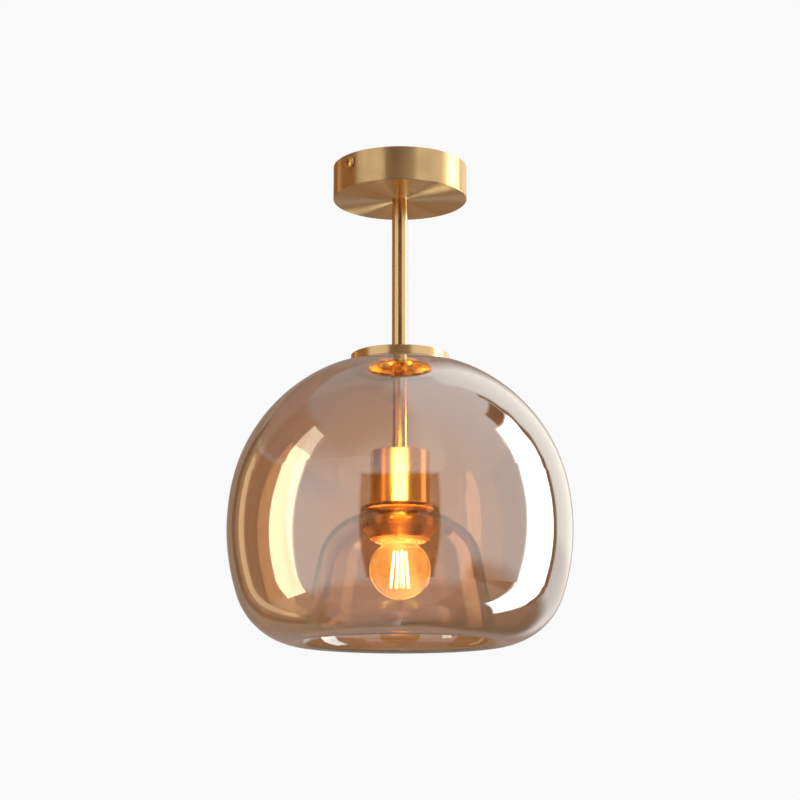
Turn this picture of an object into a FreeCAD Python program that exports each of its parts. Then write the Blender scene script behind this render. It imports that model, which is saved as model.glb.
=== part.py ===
import FreeCAD, Part
import os
from math import radians, sin, cos, tan, sqrt, pi

# A semi flush ceiling light: a brass canopy and rod carry an E27 lampholder inside a blown
# amber glass ball whose underside is pushed up into a bell. Millimetres, +Z up. The origin is
# on the rod's axis in the plane of the ceiling, so everything hangs below z = 0.

Vec = FreeCAD.Vector
same = 0.01               # how close two places are when they count as one

# ---- fits and gaps -------------------------------------------------------------------------
seat_gap = 0.3            # between pieces that come apart, such as the glass and its ring
slip_gap = 0.3            # radial, between a sliding piece and the rod or thread it slides on
thread_gap = 0.1          # radial, between a screw and its thread, which are drawn without turns
snug_gap = 0.15           # radial, between fixed pieces that nest
nut_gap = 0.05            # radial, between a nut and the nipple
edge_round = 0.4          # broken edge of the turned brass pieces
past = 1.0                # how far a cutter runs past the face that it opens

# ---- canopy and ceiling bracket ------------------------------------------------------------
canopy_radius = 50.0
canopy_height = 25.0
canopy_wall = 1.2
bracket_width = 18.0
bracket_thickness = 1.5
bracket_end_gap = 0.3     # from the bracket's ears to the canopy's inner wall
ear_drop = 13.0
slot_spacing = 60.0
slot_length = 14.0
slot_width = 4.6
side_screw_drop = 7.4     # the side screws' axis below the ceiling
side_screw_radius = 2.0
side_screw_head_radius = 3.2
side_screw_head_height = 2.0
side_screw_length = 6.0
side_hole_gap = 0.4       # radial, between a side screw and its hole in the canopy
recess_width = 0.8        # arms of the cross recess
recess_depth = 1.0
recess_share = 0.55       # reach of the cross recess's arms, as a share of the head's radius
tip_share = 0.2           # chamfer at a screw's tip, as a share of its radius
earth_screw_place = 16.0  # along the bracket, from its middle
earth_screw_radius = 2.0
earth_screw_head_radius = 3.6
earth_screw_head_height = 2.2
earth_screw_length = 2.6  # below the bracket's upper face it stops short of the ceiling
earth_tag_thickness = 0.8
earth_tag_radius = 3.9
crimp_length = 5.0
crimp_start = 4.4         # from the earth screw's axis to the crimp's near end
crimp_wall = 0.5
crimp_drop = 0.1          # of the crimp below the bracket
tag_neck_start = 1.0      # outside the earth screw's hole

# ---- rod and its threaded ends -------------------------------------------------------------
stem_radius = 6.0
stem_wall = 1.0
stem_length = 192.4
nipple_bore = 3.5
nipple_grip = 15.0        # length of each nipple inside the rod
nipple_top_stand = 11.0   # above the canopy's underside
nipple_bottom_stand = 7.0
lock_nut_flats = 14.0
lock_nut_height = 3.0
lock_washer_radius = 8.2
lock_washer_thickness = 0.6
lock_washer_teeth = 12
lock_washer_tooth_depth = 1.4

# ---- terminal block and wires --------------------------------------------------------------
block_pitch = 8.0
block_poles = 3
block_depth = 16.0
block_height = 14.0
block_end_gap = 12.8      # from its far face to the canopy's inner wall
block_notch_width = 1.2   # between poles
block_notch_depth = 3.0
block_entry_height = 8.3  # of the wire holes above its foot
block_tube_radius = 2.4
block_tube_bore = 1.5
block_tube_inset = 0.5    # of each brass tube's ends in the plastic
block_screw_radius = 1.4
block_screw_depth = 3.4
block_screw_shares = (0.25, 0.75)   # places of the two screws along a pole
pin_slot_share = 0.5      # width and depth of a headless screw's slot, over its radius
wire_radius = 1.0
wire_offset = 1.6         # of each wire from the rod's axis
wire_bend = 2.2           # radius of the tightest bend, over the rod's nut
wire_loop_drop = 5.6      # the wires' highest run below the ceiling
wire_down_place = 11.0    # where they turn down, from the rod's axis
wire_spread_drop = 2.0    # below the nipple, where the two leads part
wire_spread_slope = 1.6   # how steeply they part
wire_entry_share = 0.4    # how far a wire reaches into its pole, over the block's depth

# ---- glass ---------------------------------------------------------------------------------
glass_wall = 2.5
glass_mouth_radius = 24.0
glass_seat_radius = 38.0
glass_seat_rise = 65.0    # of the glass's top edge above the cup
# The ball's outline below its seat, in arcs. A slope is that of the outward normal from straight
# up, in degrees, where the arc ends, so it is 90 on the ball's equator and 180 on its lowest ring.
ball_start_slope = 8.8
ball_crown_radius = 69.0
ball_crown_slope = 26.8
ball_shoulder_radius = 120.2
ball_shoulder_slope = 78.5
ball_side_radius = 157.0
ball_side_slope = 108.5
ball_under_radius = 51.4
ball_under_slope = 167.5
ball_foot_radius = 5.0
lowest_slope = 180.0
upright_slope = 270.0     # of the wall where the bell rises straight
lip_radius = 12.0         # the roll from the ball's lowest ring up into the bell
bell_lean = 11.0          # of the bell's side from upright, degrees
bell_dome_slope = 15.0    # of the dome where it meets the neck, degrees from level
bell_end_gap = 1.43       # radial, from the ring to where the plate turns down into the neck
neck_fillet = 4.5
neck_lean = 6.0
neck_height = 2.6
neck_shoulder = 2.7
glass_gasket_thickness = 0.8
glass_gasket_width = 3.8

# ---- disc on top of the glass --------------------------------------------------------------
cap_radius = 36.2
cap_height = 6.2
cap_plate = 1.2
cap_skirt = 2.4
cap_boss_wall = 2.2
cap_boss_height = 3.0
cap_gasket_inset = 0.8
cap_gasket_width = 4.4

# ---- lampholder ----------------------------------------------------------------------------
cup_radius = 21.8
cup_height = 39.2
cup_wall = 1.2
cup_top_round = 1.0
bridge_thickness = 1.2
bridge_drop = 18.6        # from the cup's top to the bridge's feet
bridge_leg_width = 7.0
bridge_leg_place = 16.6   # outer face of each leg, from the axis
bridge_foot = 6.0
bridge_eye_wall = 4.0     # of the strap's round middle, outside the nipple
bridge_screw_radius = 1.5
bridge_screw_head_radius = 2.7
bridge_screw_head_height = 1.8
bridge_screw_length = 8.0
barrel_thread_radius = 19.9
barrel_thread_depth = 0.7
barrel_thread_pitch = 2.5
barrel_top = 2.0
barrel_opening = 10.0
barrel_reach = 24.4       # of the thread below the cup
barrel_relief = 1.2       # least plain stretch above the thread
insert_radius = 18.4
insert_stand = 2.6        # of the ceramic below the thread
insert_crown = 10.3
insert_bore = 15.2
holder_terminal_size = 5.0
holder_terminal_place = 4.6
socket_thread_radius = 13.5
socket_thread_depth = 0.9
thread_pitch = 3.63       # E27, of the socket and of the lamp's cap
socket_wall = 0.4
socket_turns = 7
socket_hole = 9.0
socket_relief = 1.2       # above the socket's thread
leaf_width = 5.0
leaf_thickness = 0.5
leaf_drop = 1.8           # of the leaf's tip below the ceramic's ceiling
leaf_base = 7.6           # from the lamp's axis to the leaf's fixed end
leaf_knee = 2.0           # from the axis to where the leaf bends down, on the same side
leaf_tip = 4.0            # from the axis to its free end, on the other side
leaf_pad = 3.0            # flat length at the free end
leaf_bevel = 0.2          # shift of the under side's corners, which keeps the leaf's thickness

# ---- ring that clamps the glass ------------------------------------------------------------
ring_radius = 27.3
ring_lip_radius = 21.8
ring_spigot_radius = 24.6
ring_spigot_height = 5.6
ring_band_height = 6.5
ring_cone_height = 6.8
ring_lip_height = 1.2

# ---- lamp (bulb) ---------------------------------------------------------------------------
lamp_radius = 22.3
lamp_length = 75.0
lamp_glass_wall = 0.9
lamp_neck_radius = 12.5
lamp_neck_fillet = 8.0
lamp_neck_length = 6.0    # above where the fillet starts, inside the cap
lamp_pip_radius = 4.5
lamp_pip_height = 1.8
lamp_insulator_radius = 11.0
lamp_insulator_height = 3.2
lamp_insulator_step = 0.8 # of the insulation round the lamp's contact
lamp_cap_radius = 13.1
lamp_cap_thread_depth = 0.9
lamp_cap_wall = 0.3
lamp_cap_turns = 5
lamp_cap_collar = 3.2
lamp_cap_rim = 2.0        # of the cap over the insulation
lamp_cap_relief = 1.2     # above the cap's thread
lamp_flare_radius = 11.3
lamp_flare_wall = 1.0
lamp_pinch_radius = 3.4
lamp_pinch_length = 9.0
lamp_pinch_foot = 2.0     # of the pinch above the filaments' tops
lamp_pinch_taper = 1.0
lamp_rod_radius = 0.8
filament_count = 4
filament_radius = 0.9
filament_top_radius = 4.4
filament_bottom_radius = 7.0
filament_length = 27.0
filament_turn = -23.0     # about the lamp's axis, degrees
support_wire_radius = 0.3

# ---- heights worked out from the sizes above -----------------------------------------------
canopy_bottom = -canopy_height
canopy_floor = canopy_bottom + canopy_wall
side_screw_z = -side_screw_drop
bracket_end = canopy_radius - canopy_wall - bracket_end_gap
earth_tag_top = -bracket_thickness
earth_tag_bottom = earth_tag_top - earth_tag_thickness
crimp_axis_z = earth_tag_top - wire_radius - crimp_wall - crimp_drop
stem_top = canopy_bottom
stem_bottom = stem_top - stem_length
stem_bore = stem_radius - stem_wall
nipple_radius = stem_bore - snug_gap / 2
nipple_foot = stem_bottom - nipple_bottom_stand
cup_top = stem_bottom
cup_bottom = cup_top - cup_height
cup_bore = cup_radius - cup_wall
cup_ceiling = cup_top - cup_wall
bell_plate_top = cup_bottom - seat_gap - glass_gasket_thickness
bell_plate_bottom = bell_plate_top - glass_wall
ring_top = bell_plate_bottom - glass_gasket_thickness - seat_gap
barrel_bottom = cup_bottom - barrel_reach
barrel_bore = insert_radius + snug_gap
bell_hole_radius = barrel_thread_radius + slip_gap
bell_end_radius = ring_spigot_radius + bell_end_gap
bridge_foot_top = cup_top - bridge_drop
bridge_foot_bottom = bridge_foot_top - bridge_thickness
bridge_screw_place = bridge_leg_place - bridge_thickness - bridge_foot / 2
barrel_crown = bridge_foot_bottom
insert_top = barrel_crown - barrel_top
insert_bottom = barrel_bottom - insert_stand
socket_ceiling = insert_top - insert_crown
socket_top = socket_ceiling - socket_wall
leaf_bottom = socket_ceiling - leaf_drop
lamp_top = leaf_bottom - seat_gap
lamp_centre = lamp_top - lamp_length + lamp_radius
lamp_pip_bottom = lamp_top - lamp_pip_height
lamp_cap_top = lamp_pip_bottom - lamp_insulator_height
lamp_cap_bottom = lamp_cap_top - lamp_cap_turns * thread_pitch - lamp_cap_collar
glass_seat = cup_top + glass_seat_rise
cap_bottom = glass_seat + seat_gap + glass_gasket_thickness
cap_top = cap_bottom + cap_height
block_foot = canopy_floor
block_entry_place = canopy_radius - canopy_wall - block_end_gap - block_depth
canopy_washer_bottom = canopy_floor
holder_washer_bottom = cup_ceiling - bridge_thickness - lock_washer_thickness


def save(name, shape):
    shape.exportStep("parts/%s.step" % name)
    kinds = "%d solid(s), volume %.1f" % (len(shape.Solids), shape.Volume)
    print("%-26s %s, valid %s" % (name, kinds, shape.isValid()))


def cylinder(radius, bottom, top, x=0.0, y=0.0):
    return Part.makeCylinder(radius, top - bottom, Vec(x, y, bottom))


def tube(outer, inner, bottom, top, x=0.0, y=0.0):
    return cylinder(outer, bottom, top, x, y).cut(cylinder(inner, bottom - past, top + past, x, y))


def box(x, y, z):
    """A block from three (low, high) pairs."""
    return Part.makeBox(x[1] - x[0], y[1] - y[0], z[1] - z[0], Vec(x[0], y[0], z[0]))


def turned(points):
    """A solid of revolution about Z from (radius, height) corners."""
    corners = [Vec(r, 0, z) for r, z in points]
    face = Part.Face(Part.makePolygon(corners + corners[:1]))
    return face.revolve(Vec(0, 0, 0), Vec(0, 0, 1), 360)


def turned_edges(edges):
    face = Part.Face(Part.Wire(Part.__sortEdges__(edges)))
    return face.revolve(Vec(0, 0, 0), Vec(0, 0, 1), 360)


def soften(shape, heights, size):
    """Round the circular edges that lie at the given heights."""
    picked = []
    for edge in shape.Edges:
        spans_turn = abs(edge.BoundBox.XLength - edge.BoundBox.YLength) < size
        level = edge.BoundBox.ZLength < size / 10
        if level and spans_turn and any(abs(edge.BoundBox.ZMin - z) < size / 10 for z in heights):
            picked.append(edge)
    return shape.makeFillet(size, picked)


def hexagon(flats, bottom, top):
    corner = flats / sqrt(3)
    points = [Vec(corner * cos(radians(60 * i)), corner * sin(radians(60 * i)), bottom) for i in range(7)]
    return Part.Face(Part.makePolygon(points)).extrude(Vec(0, 0, top - bottom))


def rod_between(start, end, radius):
    return Part.makeCylinder(radius, (end - start).Length, start, end - start)


def bent_wire(points, bend, radius):
    """A round wire along straight runs joined by tangent arcs of one bend radius."""
    edges = []
    here = points[0]
    for before, corner, after in zip(points, points[1:], points[2:]):
        back = (before - corner).normalize()
        ahead = (after - corner).normalize()
        half = back.getAngle(ahead) / 2
        reach = bend / tan(half)
        start = corner + back * reach
        end = corner + ahead * reach
        middle_way = (back + ahead).normalize()
        middle = corner + middle_way * (bend / sin(half) - bend)
        edges.append(Part.LineSegment(here, start).toShape())
        edges.append(Part.Arc(start, middle, end).toShape())
        here = end
    edges.append(Part.LineSegment(here, points[-1]).toShape())
    path = Part.Wire(edges)
    ring = Part.Wire(Part.makeCircle(radius, points[0], points[1] - points[0]))
    wire = path.makePipeShell([ring], True, False)
    print("  wire of %.0f mm, volume against section times length %.4f"
          % (path.Length, wire.Volume / (pi * radius ** 2 * path.Length)))
    return wire


def cross_recess(width, depth, reach):
    """Cutter for a cross recess in a head whose face looks along +X at x = 0."""
    bars = [box((-depth, past), (-reach, reach), (-width / 2, width / 2)),
            box((-depth, past), (-width / 2, width / 2), (-reach, reach))]
    return bars[0].fuse(bars[1])


def domed_head(radius, height):
    """A domed head along +X, its flat underside at x = 0."""
    crown = (radius ** 2 + height ** 2) / (2 * height)
    ball = Part.makeSphere(crown, Vec(height - crown, 0, 0))
    return ball.common(Part.makeCylinder(radius, height, Vec(0, 0, 0), Vec(1, 0, 0)))


def screw_along_x(radius, length, head_radius, head_height):
    """Domed cross-head screw: the head's underside at x = 0, the shank towards -X."""
    head = domed_head(head_radius, head_height)
    cutter = cross_recess(recess_width, recess_depth, head_radius * recess_share)
    cutter.translate(Vec(head_height, 0, 0))
    shank = Part.makeCylinder(radius, length, Vec(-length, 0, 0), Vec(1, 0, 0))
    shank = shank.makeChamfer(radius * tip_share, [edge for edge in shank.Edges
                                                   if abs(edge.BoundBox.XMax + length) < same])
    return head.cut(cutter).fuse(shank).removeSplitter()


def stood_up(shape, direction):
    """Turn a shape made along +X so that +X becomes the given direction."""
    turned_shape = shape.copy()
    turn = FreeCAD.Rotation(Vec(1, 0, 0), direction)
    turned_shape.Placement = FreeCAD.Placement(Vec(0, 0, 0), turn)
    return turned_shape


# ---- canopy --------------------------------------------------------------------------------
def make_bracket():
    half = bracket_width / 2
    strip = box((-bracket_end, bracket_end), (-half, half), (-bracket_thickness, 0))
    ears = []
    for side in (-1, 1):
        inner, outer = sorted((side * (bracket_end - bracket_thickness), side * bracket_end))
        ears.append(box((inner, outer), (-half, half), (-ear_drop, -bracket_thickness)))
    bracket = strip.fuse(ears[0]).fuse(ears[1]).removeSplitter()
    wall = cylinder(bracket_end, -ear_drop - past, past)
    bracket = bracket.common(wall)
    for side in (-1, 1):
        middle = side * slot_spacing / 2
        reach = (slot_length - slot_width) / 2
        slot = box((middle - reach, middle + reach), (-slot_width / 2, slot_width / 2),
                   (-bracket_thickness - past, past))
        for end in (middle - reach, middle + reach):
            slot = slot.fuse(cylinder(slot_width / 2, -bracket_thickness - past, past, end, 0))
        bracket = bracket.cut(slot)
    screw_holes = Part.makeCylinder(side_screw_radius + thread_gap, 2 * canopy_radius,
                                    Vec(-canopy_radius, 0, side_screw_z), Vec(1, 0, 0))
    bracket = bracket.cut(screw_holes)
    return bracket.cut(cylinder(earth_screw_radius + thread_gap, -bracket_thickness - past, past,
                                earth_screw_place, 0))


def make_canopy():
    shell = cylinder(canopy_radius, canopy_bottom, 0)
    shell = soften(shell, [canopy_bottom], edge_round)
    shell = shell.cut(cylinder(canopy_radius - canopy_wall, canopy_floor, past))
    shell = shell.cut(cylinder(nipple_radius + snug_gap, canopy_bottom - past, canopy_floor + past))
    holes = Part.makeCylinder(side_screw_radius + side_hole_gap, 4 * canopy_radius,
                              Vec(-2 * canopy_radius, 0, side_screw_z), Vec(1, 0, 0))
    return shell.cut(holes)


def make_side_screw(side):
    screw = screw_along_x(side_screw_radius, side_screw_length + thread_gap,
                          side_screw_head_radius, side_screw_head_height)
    screw = stood_up(screw, Vec(side, 0, 0))
    screw.translate(Vec(side * (canopy_radius + thread_gap), 0, side_screw_z))
    return screw


def earth_tag_way():
    """Unit direction from the earth screw to its wire."""
    return Vec(block_pitch - earth_screw_place, wire_down_place, 0).normalize()


def make_earth_screw():
    screw = screw_along_x(earth_screw_radius, earth_screw_length,
                          earth_screw_head_radius, earth_screw_head_height)
    screw = stood_up(screw, Vec(0, 0, -1))
    screw.translate(Vec(earth_screw_place, 0, earth_tag_bottom))
    return screw.common(cylinder(canopy_radius, -canopy_height, 0))


def make_earth_tag():
    centre = Vec(earth_screw_place, 0, 0)
    way = earth_tag_way()
    eye = tube(earth_tag_radius, earth_screw_radius + thread_gap, earth_tag_bottom, earth_tag_top,
               centre.x, centre.y)
    start = centre + way * crimp_start + Vec(0, 0, crimp_axis_z)
    end = start + way * crimp_length
    barrel = rod_between(start, end, wire_radius + crimp_wall)
    neck_start = centre + way * (earth_screw_radius + tag_neck_start) + Vec(0, 0, earth_tag_bottom)
    neck = Part.makeBox(crimp_start - tag_neck_start, 2 * wire_radius, earth_tag_thickness,
                        Vec(0, -wire_radius, 0))
    neck.Placement = FreeCAD.Placement(neck_start, FreeCAD.Rotation(Vec(1, 0, 0), way))
    tag = eye.fuse(neck).fuse(barrel).cut(rod_between(start - way, end + way, wire_radius))
    hole = cylinder(earth_screw_radius + thread_gap, earth_tag_bottom - past, 0, centre.x, centre.y)
    below = cylinder(canopy_radius, canopy_bottom, earth_tag_top)
    return tag.cut(hole).common(below).removeSplitter()


def pole_places():
    return [(i - (block_poles - 1) / 2) * block_pitch for i in range(block_poles)]


def make_terminal_block():
    half = block_poles * block_pitch / 2
    near, far = block_entry_place, block_entry_place + block_depth
    top = block_foot + block_height
    block = box((-half, half), (near, far), (block_foot, top))
    for x in pole_places()[:-1]:
        gap_x = x + block_pitch / 2
        notch = box((gap_x - block_notch_width / 2, gap_x + block_notch_width / 2),
                    (near - past, far + past), (top - block_notch_depth, top + past))
        block = block.cut(notch)
    entry = block_foot + block_entry_height
    for x in pole_places():
        bore = Part.makeCylinder(block_tube_radius + snug_gap, block_depth + 2 * past,
                                 Vec(x, near - past, entry), Vec(0, 1, 0))
        block = block.cut(bore)
        for y in screw_places():
            block = block.cut(cylinder(block_screw_radius + snug_gap, entry, top + past, x, y))
    middle = (near + far) / 2
    foot_hole = cylinder(block_screw_radius + snug_gap, block_foot - past, top + past,
                         block_pitch / 2, middle)
    return block.cut(foot_hole)


def screw_places():
    return [block_entry_place + block_depth * share for share in block_screw_shares]


def make_block_tubes():
    tubes = []
    entry = block_foot + block_entry_height
    for x in pole_places():
        length = block_depth - 2 * block_tube_inset
        start = Vec(x, block_entry_place + block_tube_inset, entry)
        body = Part.makeCylinder(block_tube_radius, length, start, Vec(0, 1, 0))
        body = body.cut(Part.makeCylinder(block_tube_bore, length, start, Vec(0, 1, 0)))
        for y in screw_places():
            body = body.cut(cylinder(block_screw_radius + snug_gap, entry, entry + block_height, x, y))
        tubes.append(body)
    return Part.makeCompound(tubes)


def slotted_pin(radius, bottom, top, x, y):
    """A headless screw, upright, with a driver slot in its top."""
    pin = cylinder(radius, bottom, top, x, y)
    slot_size = radius * pin_slot_share
    slot = box((x - radius - past, x + radius + past), (y - slot_size / 2, y + slot_size / 2),
               (top - slot_size, top + past))
    return pin.cut(slot)


def make_block_screws():
    bottom = block_foot + block_entry_height + wire_radius + snug_gap
    top = bottom + block_screw_depth
    pins = [slotted_pin(block_screw_radius, bottom, top, x, y)
            for x in pole_places() for y in screw_places()]
    return Part.makeCompound(pins)


def make_block_fixing_screw():
    middle = block_entry_place + block_depth / 2
    top = block_foot + block_height - block_notch_depth
    return slotted_pin(block_screw_radius, block_foot, top, block_pitch / 2, middle)


# ---- wires ---------------------------------------------------------------------------------
def lead_route(start_x, pole_x, foot_z, foot_x):
    """From a terminal on the ceramic, up the rod, over the nut and into the block."""
    entry = block_foot + block_entry_height
    top = -wire_loop_drop
    spread_z = nipple_foot - wire_spread_drop
    return [Vec(foot_x, 0, foot_z),
            Vec(foot_x, 0, spread_z - abs(foot_x - start_x) * wire_spread_slope),
            Vec(start_x, 0, spread_z), Vec(start_x, 0, top), Vec(pole_x, wire_down_place, top),
            Vec(pole_x, wire_down_place, entry),
            Vec(pole_x, block_entry_place + block_depth * wire_entry_share, entry)]


def make_lead(start_x, pole_x):
    foot_x = holder_terminal_place if start_x > 0 else -holder_terminal_place
    foot_z = insert_top + holder_terminal_size
    return bent_wire(lead_route(start_x, pole_x, foot_z, foot_x), wire_bend, wire_radius)


def make_earth_wire():
    entry = block_foot + block_entry_height
    pole_x = pole_places()[-1]
    way = earth_tag_way()
    crimp = Vec(earth_screw_place, 0, crimp_axis_z) + way * (crimp_start + crimp_length / 2)
    over = Vec(pole_x, wire_down_place, crimp_axis_z)
    route = [Vec(pole_x, block_entry_place + block_depth * wire_entry_share, entry),
             Vec(pole_x, wire_down_place, entry), over, crimp]
    return bent_wire(route, wire_bend, wire_radius)


# ---- rod -----------------------------------------------------------------------------------
def make_stem():
    return tube(stem_radius, stem_bore, stem_bottom, stem_top)


def make_top_nipple():
    return tube(nipple_radius, nipple_bore, stem_top - nipple_grip, stem_top + nipple_top_stand)


def make_bottom_nipple():
    return tube(nipple_radius, nipple_bore, nipple_foot, stem_bottom + nipple_grip)


def make_nut(bottom):
    nut = hexagon(lock_nut_flats, bottom, bottom + lock_nut_height)
    cone_radius = lock_nut_flats / 2
    corner = lock_nut_flats / sqrt(3)
    rise = corner - cone_radius
    hull = turned([(0, bottom), (cone_radius, bottom), (corner, bottom + rise),
                   (corner, bottom + lock_nut_height - rise),
                   (cone_radius, bottom + lock_nut_height), (0, bottom + lock_nut_height)])
    bore = cylinder(nipple_radius + nut_gap, bottom - past, bottom + lock_nut_height + past)
    return nut.common(hull).cut(bore)


def make_toothed_washer(bottom):
    top = bottom + lock_washer_thickness
    washer = tube(lock_washer_radius, nipple_radius + snug_gap, bottom, top)
    tooth_gap = pi * lock_washer_radius / lock_washer_teeth
    for i in range(lock_washer_teeth):
        notch = box((lock_washer_radius - lock_washer_tooth_depth, lock_washer_radius + past),
                    (-tooth_gap / 2, tooth_gap / 2), (bottom - past, top + past))
        notch.rotate(Vec(0, 0, 0), Vec(0, 0, 1), i * 360 / lock_washer_teeth)
        washer = washer.cut(notch)
    return washer


# ---- glass ---------------------------------------------------------------------------------
def outline(start, start_slope, steps, depth):
    """Edges along the glass from start, each tangent to the last, depth inside its outer face.

    A step is ("out", radius, slope) for a bulging arc, ("in", radius, slope) for a hollow arc,
    or ("line", length). Slopes are of the outward normal, in degrees from straight up."""
    slope = start_slope
    here = Vec(start[0] - depth * sin(radians(slope)), 0, start[1] - depth * cos(radians(slope)))
    edges = []
    for step in steps:
        if step[0] == "line":
            way = Vec(cos(radians(slope)), 0, -sin(radians(slope)))
            there = here + way * step[1]
            edges.append(Part.LineSegment(here, there).toShape())
        else:
            sign = 1 if step[0] == "out" else -1
            radius = sign * step[1] - depth
            points = []
            for angle in ((slope + step[2]) / 2, step[2]):
                dr = radius * (sin(radians(angle)) - sin(radians(slope)))
                dz = radius * (cos(radians(angle)) - cos(radians(slope)))
                points.append(here + Vec(dr, 0, dz))
            middle, there = points
            edges.append(Part.Arc(here, middle, there).toShape())
            slope = step[2]
        here = there
    return edges, here


def glass_steps(side_length, dome_radius):
    ball = [("out", ball_crown_radius, ball_crown_slope),
            ("out", ball_shoulder_radius, ball_shoulder_slope),
            ("out", ball_side_radius, ball_side_slope),
            ("out", ball_under_radius, ball_under_slope),
            ("out", ball_foot_radius, lowest_slope)]
    bell = [("out", lip_radius, upright_slope - bell_lean), ("line", side_length),
            ("in", dome_radius, lowest_slope + bell_dome_slope)]
    neck = [("out", neck_fillet, upright_slope - neck_lean), ("line", neck_height),
            ("in", neck_shoulder - glass_wall, lowest_slope)]
    return ball + bell + neck


def glass_end(side_length, dome_radius):
    """Where the glass's room side ends, from the steps' sums alone."""
    slope = radians(ball_start_slope)
    r, z = glass_seat_radius, glass_seat
    for step in glass_steps(side_length, dome_radius):
        if step[0] == "line":
            r += step[1] * cos(slope)
            z -= step[1] * sin(slope)
        else:
            radius = step[1] if step[0] == "out" else -step[1]
            next_slope = radians(step[2])
            r += radius * (sin(next_slope) - sin(slope))
            z += radius * (cos(next_slope) - cos(slope))
            slope = next_slope
    return r, z


def fitted_glass_steps():
    """The steps with the bell's side and dome sized to end on the plate, outside the ring."""
    want = (bell_end_radius, bell_plate_bottom)
    base, side, dome = glass_end(0, 0), glass_end(1, 0), glass_end(0, 1)
    side_r, side_z = side[0] - base[0], side[1] - base[1]
    dome_r, dome_z = dome[0] - base[0], dome[1] - base[1]
    miss_r, miss_z = want[0] - base[0], want[1] - base[1]
    share = side_r * dome_z - side_z * dome_r
    side_length = (miss_r * dome_z - miss_z * dome_r) / share
    dome_radius = (side_r * miss_z - side_z * miss_r) / share
    print("  bell: side %.2f long, dome radius %.2f" % (side_length, dome_radius))
    return glass_steps(side_length, dome_radius)


def make_glass():
    seat_end = (glass_seat_radius, glass_seat)
    steps = fitted_glass_steps()
    outer, outer_end = outline(seat_end, ball_start_slope, steps, 0)
    inner, inner_end = outline(seat_end, ball_start_slope, steps, glass_wall)
    inner_start = inner[0].Vertexes[0].Point
    mouth_top = Vec(glass_mouth_radius, 0, glass_seat)
    mouth_bottom = Vec(glass_mouth_radius, 0, inner_start.z)
    hole_bottom = Vec(bell_hole_radius, 0, outer_end.z)
    hole_top = Vec(bell_hole_radius, 0, inner_end.z)
    ends = [(Vec(glass_seat_radius, 0, glass_seat), mouth_top), (mouth_top, mouth_bottom),
            (mouth_bottom, inner_start), (outer_end, hole_bottom), (hole_bottom, hole_top),
            (hole_top, inner_end)]
    lines = [Part.LineSegment(a, b).toShape() for a, b in ends]
    low = min(edge.BoundBox.ZMin for edge in outer)
    wide = max(edge.BoundBox.XMax for edge in outer)
    print("  glass: diameter %.2f, lowest ring z %.2f" % (2 * wide, low))
    return turned_edges(outer + inner + lines)


def make_glass_gasket(bottom):
    inner = bell_hole_radius
    return tube(inner + glass_gasket_width, inner, bottom, bottom + glass_gasket_thickness)


# ---- disc on the glass ---------------------------------------------------------------------
def make_cap():
    bore = stem_radius + slip_gap
    plate_bottom = cap_top - cap_plate
    boss = bore + cap_boss_wall
    cap = turned([(bore, cap_top), (cap_radius, cap_top), (cap_radius, cap_bottom),
                  (cap_radius - cap_skirt, cap_bottom), (cap_radius - cap_skirt, plate_bottom),
                  (boss, plate_bottom), (boss, plate_bottom - cap_boss_height),
                  (bore, plate_bottom - cap_boss_height)])
    edges = [e for e in cap.Edges if e.BoundBox.ZLength < same and abs(e.BoundBox.ZMin - cap_top) < same
             and abs(e.BoundBox.XMax - cap_radius) < same]
    return cap.makeFillet(edge_round, edges)


def make_cap_gasket():
    outer = cap_radius - cap_gasket_inset
    return tube(outer, outer - cap_gasket_width, cap_bottom - glass_gasket_thickness, cap_bottom)


# ---- lampholder ----------------------------------------------------------------------------
def make_cup():
    cup = cylinder(cup_radius, cup_bottom, cup_top)
    cup = soften(cup, [cup_top], cup_top_round)
    cup = cup.cut(cylinder(cup_bore, cup_bottom - past, cup_ceiling))
    return cup.cut(cylinder(nipple_radius + snug_gap, cup_ceiling - past, cup_top + past))


def make_bridge():
    """A strap under the cup's ceiling whose feet hold the barrel and the ceramic."""
    half = bridge_leg_width / 2
    bottom = cup_ceiling - bridge_thickness
    strap = box((-half, half), (-bridge_leg_place, bridge_leg_place), (bottom, cup_ceiling))
    strap = strap.fuse(cylinder(nipple_radius + bridge_eye_wall, bottom, cup_ceiling))
    for side in (-1, 1):
        inner, outer = sorted((side * (bridge_leg_place - bridge_thickness), side * bridge_leg_place))
        leg = box((-half, half), (inner, outer), (bridge_foot_bottom, cup_ceiling))
        inner, outer = sorted((side * (bridge_leg_place - bridge_thickness - bridge_foot),
                               side * bridge_leg_place))
        foot = box((-half, half), (inner, outer), (bridge_foot_bottom, bridge_foot_top))
        hole = cylinder(bridge_screw_radius + thread_gap, bridge_foot_bottom - past,
                        bridge_foot_top + past, 0, side * bridge_screw_place)
        strap = strap.fuse(leg).fuse(foot).cut(hole)
    strap = strap.cut(cylinder(nipple_radius + snug_gap, bottom - past, cup_ceiling + past))
    return strap.removeSplitter()


def make_bridge_screws():
    screws = []
    for side in (-1, 1):
        screw = screw_along_x(bridge_screw_radius, bridge_screw_length,
                              bridge_screw_head_radius, bridge_screw_head_height)
        screw = stood_up(screw, Vec(0, 0, 1))
        screw.translate(Vec(0, side * bridge_screw_place, bridge_foot_top))
        screws.append(screw)
    return Part.makeCompound(screws)


def screw_profile(crest, depth, pitch, turns, start_z):
    """Points of a rounded thread drawn as rings: crest and root radii in turn, going down."""
    points = []
    for i in range(turns * 4 + 1):
        wave = (1 + cos(2 * pi * i / 4)) / 2
        points.append((crest - depth * (1 - wave), start_z - i * pitch / 4))
    return points


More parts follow.
